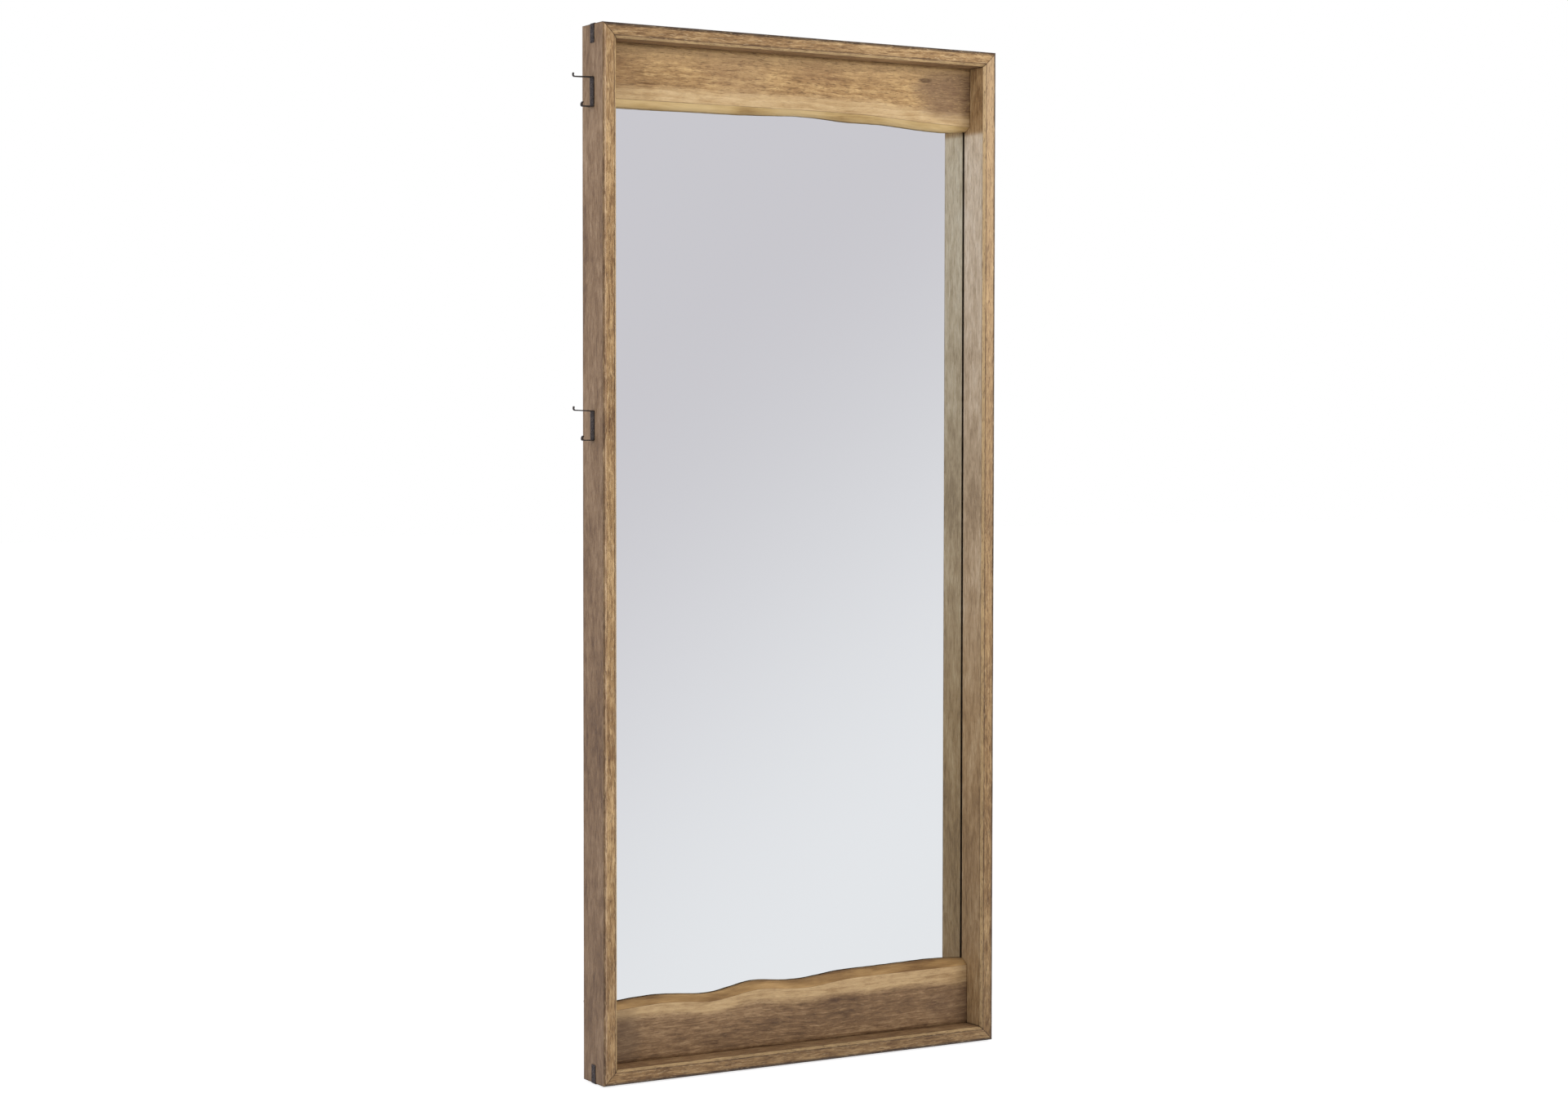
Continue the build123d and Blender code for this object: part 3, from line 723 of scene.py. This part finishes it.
# The end patches of this board, too, are painted shade in its corners
board_bottom_grain = board_wood(
    "board_bottom_grain", 6.0, BOTTOM_SAPWOOD, BOTTOM_HEART, BOTTOM_BEVEL,
    [(BOTTOM_BOARD_LOW.x + 0.03, BOTTOM_BOARD_LOW.z + 0.05, 0.06, 0.07, 0.5, rgb(96, 78, 60)),
     (BOTTOM_BOARD_HIGH.x - 0.03, BOTTOM_BOARD_LOW.z + 0.04, 0.09, 0.05, 0.35, rgb(100, 78, 58)),
     (0.10, BOTTOM_BOARD_LOW.z + 0.078, 0.02, 0.007, 0.75, KNOT_BROWN),
     (-0.05, BOTTOM_BOARD_LOW.z + 0.05, 0.03, 0.005, 0.5, KNOT_BROWN)], widening=0.022)
board_piece("board_top_live_edge", "board_top", TOP_BOARD_HIGH.z, board_top_grain, 2.0)
board_piece("board_bottom_live_edge", "board_bottom", BOTTOM_BOARD_LOW.z, board_bottom_grain, 8.0)


# Iron strip pieces
def iron(name, base, worn, rough):
    """Blackened iron: mottled scale, with brighter rubbed spots and hammered relief."""
    made, g = new_material(name)
    p = g.position()
    mottle = g.noise(p, (300, 300, 300), 4.0, 0.6)
    rubbed = g.ramp(g.noise(p, (90, 90, 90), 3.0, 0.6), 0.52, 0.7)
    grit = g.noise(p, (2600, 2600, 2600), 2.0, 0.5)
    colour = g.colours(mottle, [(0.3, base), (0.75, worn)])
    colour = g.mix(g.times(rubbed, 0.45), colour, worn)
    dents = g.noise(p, (170, 170, 170), 1.0, 0.4)
    height = g.math("MULTIPLY_ADD", grit, 0.25, dents)
    shine = g.ramp(mottle, 0.3, 0.7, rough + 0.12, rough - 0.08)
    g.finish(height=height, distance=0.6 * MM, Base_Color=colour, Metallic=0.85, Roughness=shine)
    return made


def bent_path(corners, step=0.5 * MM, arc_steps=6):
    """Points along straight runs joined by arcs, from (x, y, radius) corners."""
    points = [Vector(corners[0][:2])]
    for i in range(1, len(corners) - 1):
        here = Vector(corners[i][:2])
        before = (Vector(corners[i - 1][:2]) - here).normalized()
        after = (Vector(corners[i + 1][:2]) - here).normalized()
        half = before.angle(after) / 2
        radius = corners[i][2]
        back_off = radius * cos(half) / sin(half)
        centre = here + (before + after).normalized() * (radius / sin(half))
        start, end = here + before * back_off - centre, here + after * back_off - centre
        turn = start.angle_signed(end)
        for k in range(arc_steps + 1):
            points.append(centre + Matrix.Rotation(-turn * k / arc_steps, 2) @ start)
    points.append(Vector(corners[-1][:2]))
    path = []
    for here, following in zip(points, points[1:]):
        pieces = max(1, round((following - here).length / step))
        path += [here.lerp(following, k / pieces) for k in range(pieces)]
    return path + [points[-1]]


def strip_section(thickness, width, across_pieces=8, corner_steps=3):
    """A flat bar's section with rounded corners, always of the same number of points."""
    corner = min(0.4 * thickness, 0.4 * width, 0.6 * MM)
    section = []
    for quarter, (out, across) in enumerate(((1, -1), (1, 1), (-1, 1), (-1, -1))):
        middle = Vector((out * (thickness / 2 - corner), across * (width / 2 - corner)))
        for k in range(corner_steps + 1):
            angle = (quarter - 1 + k / corner_steps) * pi / 2
            section.append(middle + Vector((cos(angle), sin(angle))) * corner)
        if quarter in (0, 2):
            start = section[-1]
            run = width - 2 * corner
            for k in range(1, across_pieces):
                section.append(start + Vector((0, -across * run * k / across_pieces)))
    return section


def strip_rings(path, width_at, thickness_at, place, end_round, seed, hammer):
    """Rings of a bent, hammered strip with rounded ends. place takes (out, up, across) to the scene."""
    lengths = [0.0]
    for here, following in zip(path, path[1:]):
        lengths.append(lengths[-1] + (following - here).length)
    total = lengths[-1]
    rings = []
    for i, point in enumerate(path):
        ahead = path[min(i + 1, len(path) - 1)] - path[max(i - 1, 0)]
        normal = Vector((-ahead.y, ahead.x)).normalized()
        way = lengths[i]
        from_end = min(way, total - way)
        inset = 0.0
        if from_end < end_round:
            inset = end_round * (1 - sqrt(1 - (1 - from_end / end_round) ** 2))
        width = width_at(way, total) - 2 * inset
        thickness = max(thickness_at(way, total) - 2 * inset, 0.5 * MM)
        ring = []
        for out, across in strip_section(thickness, width):
            spot = point + normal * out
            lump = hammer * noise.noise(Vector((spot.x * 170, spot.y * 170, across * 170 + seed)))
            spot = point + normal * out * (1 - abs(lump) / thickness)
            ring.append(place(spot.x, spot.y, across))
        rings.append(ring)
    return rings


iron_material = iron("blackened_iron", rgb(38, 35, 33), rgb(92, 86, 80), 0.46)
screw_material = iron("blackened_screws", rgb(52, 48, 45), rgb(118, 110, 102), 0.36)


def hook_piece(node, arm_rise):
    """A forged strap hook that follows the frame's hook. It returns the height of its middle.

    arm_rise is how far the upper arm rises toward its end, so below 0 it sinks.
    """
    middle = HOOK_THICKNESS / 2
    centre_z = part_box(node)[0].z + middle + HOOK_HALF_HEIGHT
    half = HOOK_HALF_HEIGHT
    upper = HOOK_UPPER_REACH - middle
    lower = HOOK_LOWER_REACH - middle
    path = bent_path([
        (upper - 1.0 * MM, half + arm_rise + HOOK_UPPER_TIP_RISE, 0),
        (upper, half + arm_rise, 3.2 * MM),
        (middle, half, 2.0 * MM),
        (middle, -half, 2.0 * MM),
        (lower, -half, 2.6 * MM),
        (lower, -half + 5.0 * MM, 1.8 * MM),
        (lower - 2.6 * MM, -half + 8.6 * MM, 0),
    ])
    upper_run = upper + HOOK_UPPER_TIP_RISE
    lower_run = lower + 8.0 * MM

    def width_at(way, total):
        """Both arms narrow toward their tips."""
        if way < upper_run:
            share = min(1.0, max(0.0, way - 5 * MM) / (upper_run - 8 * MM))
            return HOOK_UPPER_TIP_WIDTH + (HOOK_WIDTH - HOOK_UPPER_TIP_WIDTH) * share
        if total - way < lower_run:
            share = min(1.0, max(0.0, total - way - 4 * MM) / (lower_run - 8 * MM))
            return HOOK_LOWER_TIP_WIDTH + (HOOK_WIDTH - HOOK_LOWER_TIP_WIDTH) * share
        return HOOK_WIDTH

    def thickness_at(way, total):
        """Both tips swell."""
        from_end = min(way, total - way)
        return HOOK_THICKNESS + 0.9 * MM * max(0.0, 1 - from_end / (4 * MM))

    def place(out, up, across):
        return Vector((-SIDE_X - out, across, centre_z + up))

    rings = strip_rings(path, width_at, thickness_at, place, 1.6 * MM, centre_z, 0.25 * MM)
    points, faces = loft(rings)
    piece = mesh_object(node + "_forged", points, faces, [iron_material])
    place_piece(piece, "frame", "iron", node)
    return centre_z


def strap_piece(node, side, end, corner_z):
    """An iron strap bent round one corner of the frame."""
    middle = STRAP_THICKNESS / 2
    path = bent_path([(middle, -STRAP_LEG, 0), (middle, middle, 1.7 * MM), (-STRAP_LEG, middle, 0)], 1 * MM)

    def width_at(way, total):
        return STRAP_WIDTH

    def thickness_at(way, total):
        return STRAP_THICKNESS

    def place(out, up, across):
        return Vector((side * (SIDE_X + out), across, corner_z + end * up))

    rings = strip_rings(path, width_at, thickness_at, place, 0.5 * MM, side * 3.1 + end, 0.2 * MM)
    points, faces = loft(rings)
    piece = mesh_object(node + "_iron", points, faces, [iron_material])
    place_piece(piece, "frame", "iron", node)


def screw_mesh(seat, direction, length, turn, dome):
    """An oval-head screw with a cross recess. direction points out of its head."""
    segments = 32
    recess = 0.55 * MM
    slot_half_width = 0.42 * MM
    slot_share = 0.62
    head_rings = [0.12, 0.2, 0.3, 0.4, 0.5, 0.62, 0.75, 0.87, 0.96, 1.0]
    # Below the head, as radius and depth
    shank_rings = [
        (SCREW_HEAD_RADIUS, 0.3 * MM),
        (1.9 * MM, 1.6 * MM),
        (1.7 * MM, length - 3 * MM),
        (0.3 * MM, length),
    ]
    side = direction.orthogonal().normalized()
    up = direction.cross(side)
    angles = [2 * pi * k / segments for k in range(segments)]

    def spot(radius, angle, out):
        sideways, upward = radius * cos(angle + turn), radius * sin(angle + turn)
        return seat + side * sideways + up * upward + direction * out

    points = [seat + direction * (dome - recess)]
    for share in head_rings:
        radius = share * SCREW_HEAD_RADIUS
        height = dome * (1 - share ** 2.4)
        for angle in angles:
            off_slot = radius * min(abs(cos(angle)), abs(sin(angle)))
            in_slot = off_slot < slot_half_width and share < slot_share
            points.append(spot(radius, angle, height - recess if in_slot else height))
    for radius, sink in shank_rings:
        points += [spot(radius, angle, -sink) for angle in angles]
    faces = [(0, 1 + k, 1 + (k + 1) % segments) for k in range(segments)]
    ring_starts = range(1, len(points), segments)
    for start in ring_starts[:-1]:
        for k in range(segments):
            here, following = start + k, start + (k + 1) % segments
            faces.append((here, here + segments, following + segments, following))
    faces.append(tuple(range(ring_starts[-1], len(points))))
    return points, faces


def screw_group(name, node, seats, length, dome):
    """One piece of all the screws in a node, from (seat, direction) pairs."""
    points, faces = [], []
    for i, (seat, direction) in enumerate(seats):
        more_points, more_faces = screw_mesh(seat, direction, length, 0.7 * i, dome)
        shift = len(points)
        points += more_points
        faces += [tuple(index + shift for index in face) for face in more_faces]
    piece = mesh_object(name, points, faces, [screw_material])
    place_piece(piece, "frame", "dark_screws", node)


hook_seats = []
for node, arm_rise in (("hook_upper", -HOOK_ARM_RISE), ("hook_lower", HOOK_ARM_RISE)):
    hook_z = hook_piece(node, arm_rise)
    for step in (-0.5, 0.5):
        seat = Vector((-SIDE_X - HOOK_THICKNESS, 0, hook_z + step * HOOK_SCREW_SPACING))
        hook_seats.append((seat, -X))

strap_seats = []
for side, side_name in ((-1, "left"), (1, "right")):
    for end, end_name, corner_z in ((-1, "bottom", WOOD_BOTTOM), (1, "top", WOOD_TOP)):
        strap_piece(f"strap_{end_name}_{side_name}", side, end, corner_z)
        on_side = Vector((side * (SIDE_X + STRAP_THICKNESS), 0, corner_z - end * STRAP_SCREW_FROM_CORNER))
        on_end = Vector((side * (SIDE_X - STRAP_SCREW_FROM_CORNER), 0, corner_z + end * STRAP_THICKNESS))
        strap_seats += [(on_side, side * X), (on_end, end * Z)]

screw_group("hook_screw_heads", "hook_screws", hook_seats, HOOK_SCREW_LENGTH, HOOK_SCREW_DOME)
screw_group("strap_screw_heads", "strap_screws", strap_seats, STRAP_SCREW_LENGTH, STRAP_SCREW_DOME)


# The mirror
def silver():
    """Silvered glass: a cool, faintly green reflection."""
    made, g = new_material("silvered_glass")
    p = g.position()
    haze = g.ramp(g.noise(p, (3, 3, 3), 3.0), 0.3, 0.7, 0.0, 0.012)
    colour = g.mix(g.noise(p, (1.2, 1.2, 1.2)), rgb(233, 240, 236), rgb(235, 241, 238))
    g.finish(Base_Color=colour, Metallic=1.0, Roughness=haze)
    return made


def ground_edge():
    """The pane's edges and back: dark green, with a fine ground grit."""
    made, g = new_material("ground_glass_edge")
    p = g.position()
    colour = g.colours(g.noise(p, (400, 400, 400), 3.0), [(0.3, rgb(22, 34, 28)), (0.7, rgb(40, 56, 46))])
    g.finish(height=g.noise(p, (1500, 1500, 300), 2.0), distance=0.1 * MM, Base_Color=colour, Roughness=0.35)
    return made


def mirror_piece():
    """The pane, from the plane where its silver seems to lie to its back, with ground arrises."""
    apparent = 3.3 * MM
    arris = 0.6 * MM
    front = GLASS_LOW.y + apparent
    layers = [(front, arris), (front + arris, 0.0), (GLASS_HIGH.y - arris, 0.0), (GLASS_HIGH.y, arris)]
    columns, rows = 24, 54
    rings = []
    for y, inset in layers:
        low_x, high_x = GLASS_LOW.x + inset, GLASS_HIGH.x - inset
        low_z, high_z = GLASS_LOW.z + inset, GLASS_HIGH.z - inset
        ring = [(low_x + (high_x - low_x) * i / columns, y, low_z) for i in range(columns)]
        ring += [(high_x, y, low_z + (high_z - low_z) * i / rows) for i in range(rows)]
        ring += [(high_x - (high_x - low_x) * i / columns, y, high_z) for i in range(columns)]
        ring += [(low_x, y, high_z - (high_z - low_z) * i / rows) for i in range(rows)]
        rings.append(ring)
    points, faces = loft(rings)
    # Silver on the front alone, which is the last face but one
    kinds = [1] * (len(faces) - 2) + [0, 1]
    piece = mesh_object("mirror_pane", points, faces, [silver(), ground_edge()], kinds)
    piece.data.polygons.foreach_set("use_smooth", [False] * len(piece.data.polygons))
    place_piece(piece, "frame", "mirror", "mirror_glass")


mirror_piece()


# Finishes of the pieces that keep their CAD shape
def plain_wood(name, along, seed, tones):
    made, g = new_material(name)
    w = Wood(g, along, seed)
    colour = g.tones(w.tone(ring=0.3, streak=0.5, broad=0.5, band=0.3), tones, 0.35)
    colour = g.mix(g.times(w.pores, 0.3), colour, tones[0])
    g.finish(height=w.height(), distance=0.1 * MM, Base_Color=colour, Roughness=w.roughness(0.6, 0.78))
    return made


def hardboard():
    """Brown pressed board: fine fibres, faint clouds and a slight sheen."""
    made, g = new_material("hardboard")
    p = g.position()
    fibres = g.noise(p, (700, 700, 700), 4.0, 0.7, 0.8)
    clouds = g.noise(p, (11, 11, 11), 4.0, 0.6)
    tone = g.about(fibres, clouds, 0.3)
    colour = g.colours(tone, [(0.25, rgb(92, 66, 44)), (0.5, rgb(122, 90, 60)), (0.78, rgb(152, 118, 82))])
    g.finish(height=fibres, distance=0.15 * MM, Base_Color=colour, Roughness=g.ramp(fibres, 0.3, 0.7, 0.5, 0.7))
    return made


def zinc():
    """Zinc plate: soft spangle with fine drawn lines."""
    made, g = new_material("zinc_plate")
    p = g.position()
    spangle = g.noise(p, (260, 260, 260), 3.0, 0.6)
    lines = g.noise(p, (3000, 3000, 240), 2.0)
    colour = g.colours(spangle, [(0.3, rgb(168, 168, 164)), (0.7, rgb(206, 206, 200))])
    g.finish(height=lines, distance=0.04 * MM, Base_Color=colour, Metallic=1.0,
             Roughness=g.ramp(spangle, 0.3, 0.7, 0.26, 0.42))
    return made


def rubber():
    """Black rubber with a dusty bloom."""
    made, g = new_material("black_rubber")
    p = g.position()
    grain = g.noise(p, (1400, 1400, 1400), 3.0, 0.6)
    dust = g.ramp(g.noise(p, (120, 120, 120), 3.0), 0.45, 0.75, 0.0, 0.3)
    colour = g.mix(dust, rgb(30, 30, 31), rgb(72, 70, 67))
    g.finish(height=grain, distance=0.2 * MM, Base_Color=colour, Roughness=g.ramp(grain, 0.3, 0.7, 0.7, 0.9))
    return made


finishes = [
    (plain_wood("bead_upright_grain", "Z", 11.0, BEAD_TONES), ("bead_left", "bead_right")),
    (plain_wood("bead_level_grain", "X", 12.0, BEAD_TONES), ("bead_top", "bead_bottom")),
    (plain_wood("beech_grain", "X", 13.0, BEECH_TONES), ("board_dowels", "mitre_biscuits")),
    (hardboard(), ("back_panel",)),
    (zinc(), ("hanger_left", "hanger_right", "ring_left", "ring_right",
              "hanger_screws", "bead_screws", "bumper_screws")),
    (rubber(), ("wall_bumpers", "floor_pads", "setting_blocks")),
]
for material, names in finishes:
    for node in names:
        nodes[node].data.materials.clear()
        nodes[node].data.materials.append(material)


# Stage
def floor():
    """A pale floor that keeps the shadow and is white to the camera, but clear to gloss and from below."""
    made, g = new_material("pale_floor")
    rays = g.node("LightPath").outputs
    pale = g.mix(g.noise(g.position(), (6, 6, 6), 3.0), rgb(226, 226, 225), rgb(232, 232, 231))
    diffuse = g.node("BsdfDiffuse", None, Color=pale)
    # Where the lights reach it, the glow and the grey add up to white
    glow = g.node("Emission", None, Color=(1, 1, 1, 1), Strength=0.78)
    grey = g.node("BsdfDiffuse", None, Color=(0.42, 0.42, 0.43, 1))
    seen = g.node("AddShader")
    g.put(seen.inputs[0], glow.outputs[0])
    g.put(seen.inputs[1], grey.outputs[0])
    clear = g.node("BsdfTransparent")
    surface = g.blend(rays["Is Camera Ray"], diffuse, seen)
    surface = g.blend(g.math("MAXIMUM", rays["Is Glossy Ray"], rays["Is Transmission Ray"]), surface, clear)
    surface = g.blend(g.node("NewGeometry").outputs["Backfacing"], surface, clear)
    output = g.node("OutputMaterial")
    g.put(output.inputs["Surface"], surface.outputs[0])
    # Just under the pads, so that the two don't flicker through each other
    reach, level = 30.0, -0.1 * MM
    points = [(-reach, -reach, level), (reach, -reach, level), (reach, reach, level), (-reach, reach, level)]
    piece = mesh_object("floor", points, [(0, 1, 2, 3)], [made])


floor()


def world():
    """Soft even light. Gloss sees a studio that pales from grey above to near white below."""
    made = bpy.data.worlds.new("studio")
    bpy.context.scene.world = made
    made.use_nodes = True
    g = Graph(made.node_tree)
    rays = g.node("LightPath").outputs
    direction = g.split(g.node("TexCoord").outputs["Generated"])
    slant = g.math("SUBTRACT", g.times(direction["X"], 0.93), direction["Z"])
    studio = g.mix(g.ramp(slant, 0.40, 0.65), rgb(219, 212, 221), rgb(248, 244, 251))
    colour = g.mix(rays["Is Glossy Ray"], (0.6, 0.6, 0.61, 1), studio)
    white = g.math("MAXIMUM", rays["Is Camera Ray"], rays["Is Transmission Ray"])
    colour = g.mix(white, colour, (1, 1, 1, 1))
    background = g.node("Background", None, Color=colour, Strength=1.0)
    output = g.node("OutputWorld")
    g.put(output.inputs["Surface"], background.outputs[0])


world()


def area_light(name, place, target, size, power, colour):
    light = bpy.data.lights.new(name, "AREA")
    light.shape = "RECTANGLE"
    light.size, light.size_y = size
    light.energy = power
    light.color = colour
    made = bpy.data.objects.new(name, light)
    made.visible_glossy = False
    made.location = place
    made.rotation_euler = (Vector(target) - Vector(place)).to_track_quat("-Z", "Y").to_euler()
    bpy.context.scene.collection.objects.link(made)


area_light("key", (2.0, -3.7, 2.9), target=(0, 0, 1.4), size=(2.6, 2.6), power=125,
           colour=(1.0, 0.97, 0.93))
area_light("left_fill", (-3.6, -1.4, 2.4), target=(0, 0, 1.2), size=(2.0, 2.0), power=50,
           colour=(0.98, 0.97, 1.0))


def camera():
    data = bpy.data.cameras.new("photo_camera")
    data.sensor_width = 36.0
    data.lens = CAMERA_LENS
    data.clip_end = 100
    made = bpy.data.objects.new("photo_camera", data)
    turn = Euler((radians(90 + CAMERA_PITCH), 0, radians(-CAMERA_YAW))).to_matrix()
    turn = turn @ Matrix.Rotation(radians(CAMERA_ROLL), 3, "Z")
    made.matrix_world = Matrix.Translation(CAMERA_PLACE) @ turn.to_4x4()
    bpy.context.scene.collection.objects.link(made)
    bpy.context.scene.camera = made


camera()
bpy.context.scene.view_settings.view_transform = "Standard"
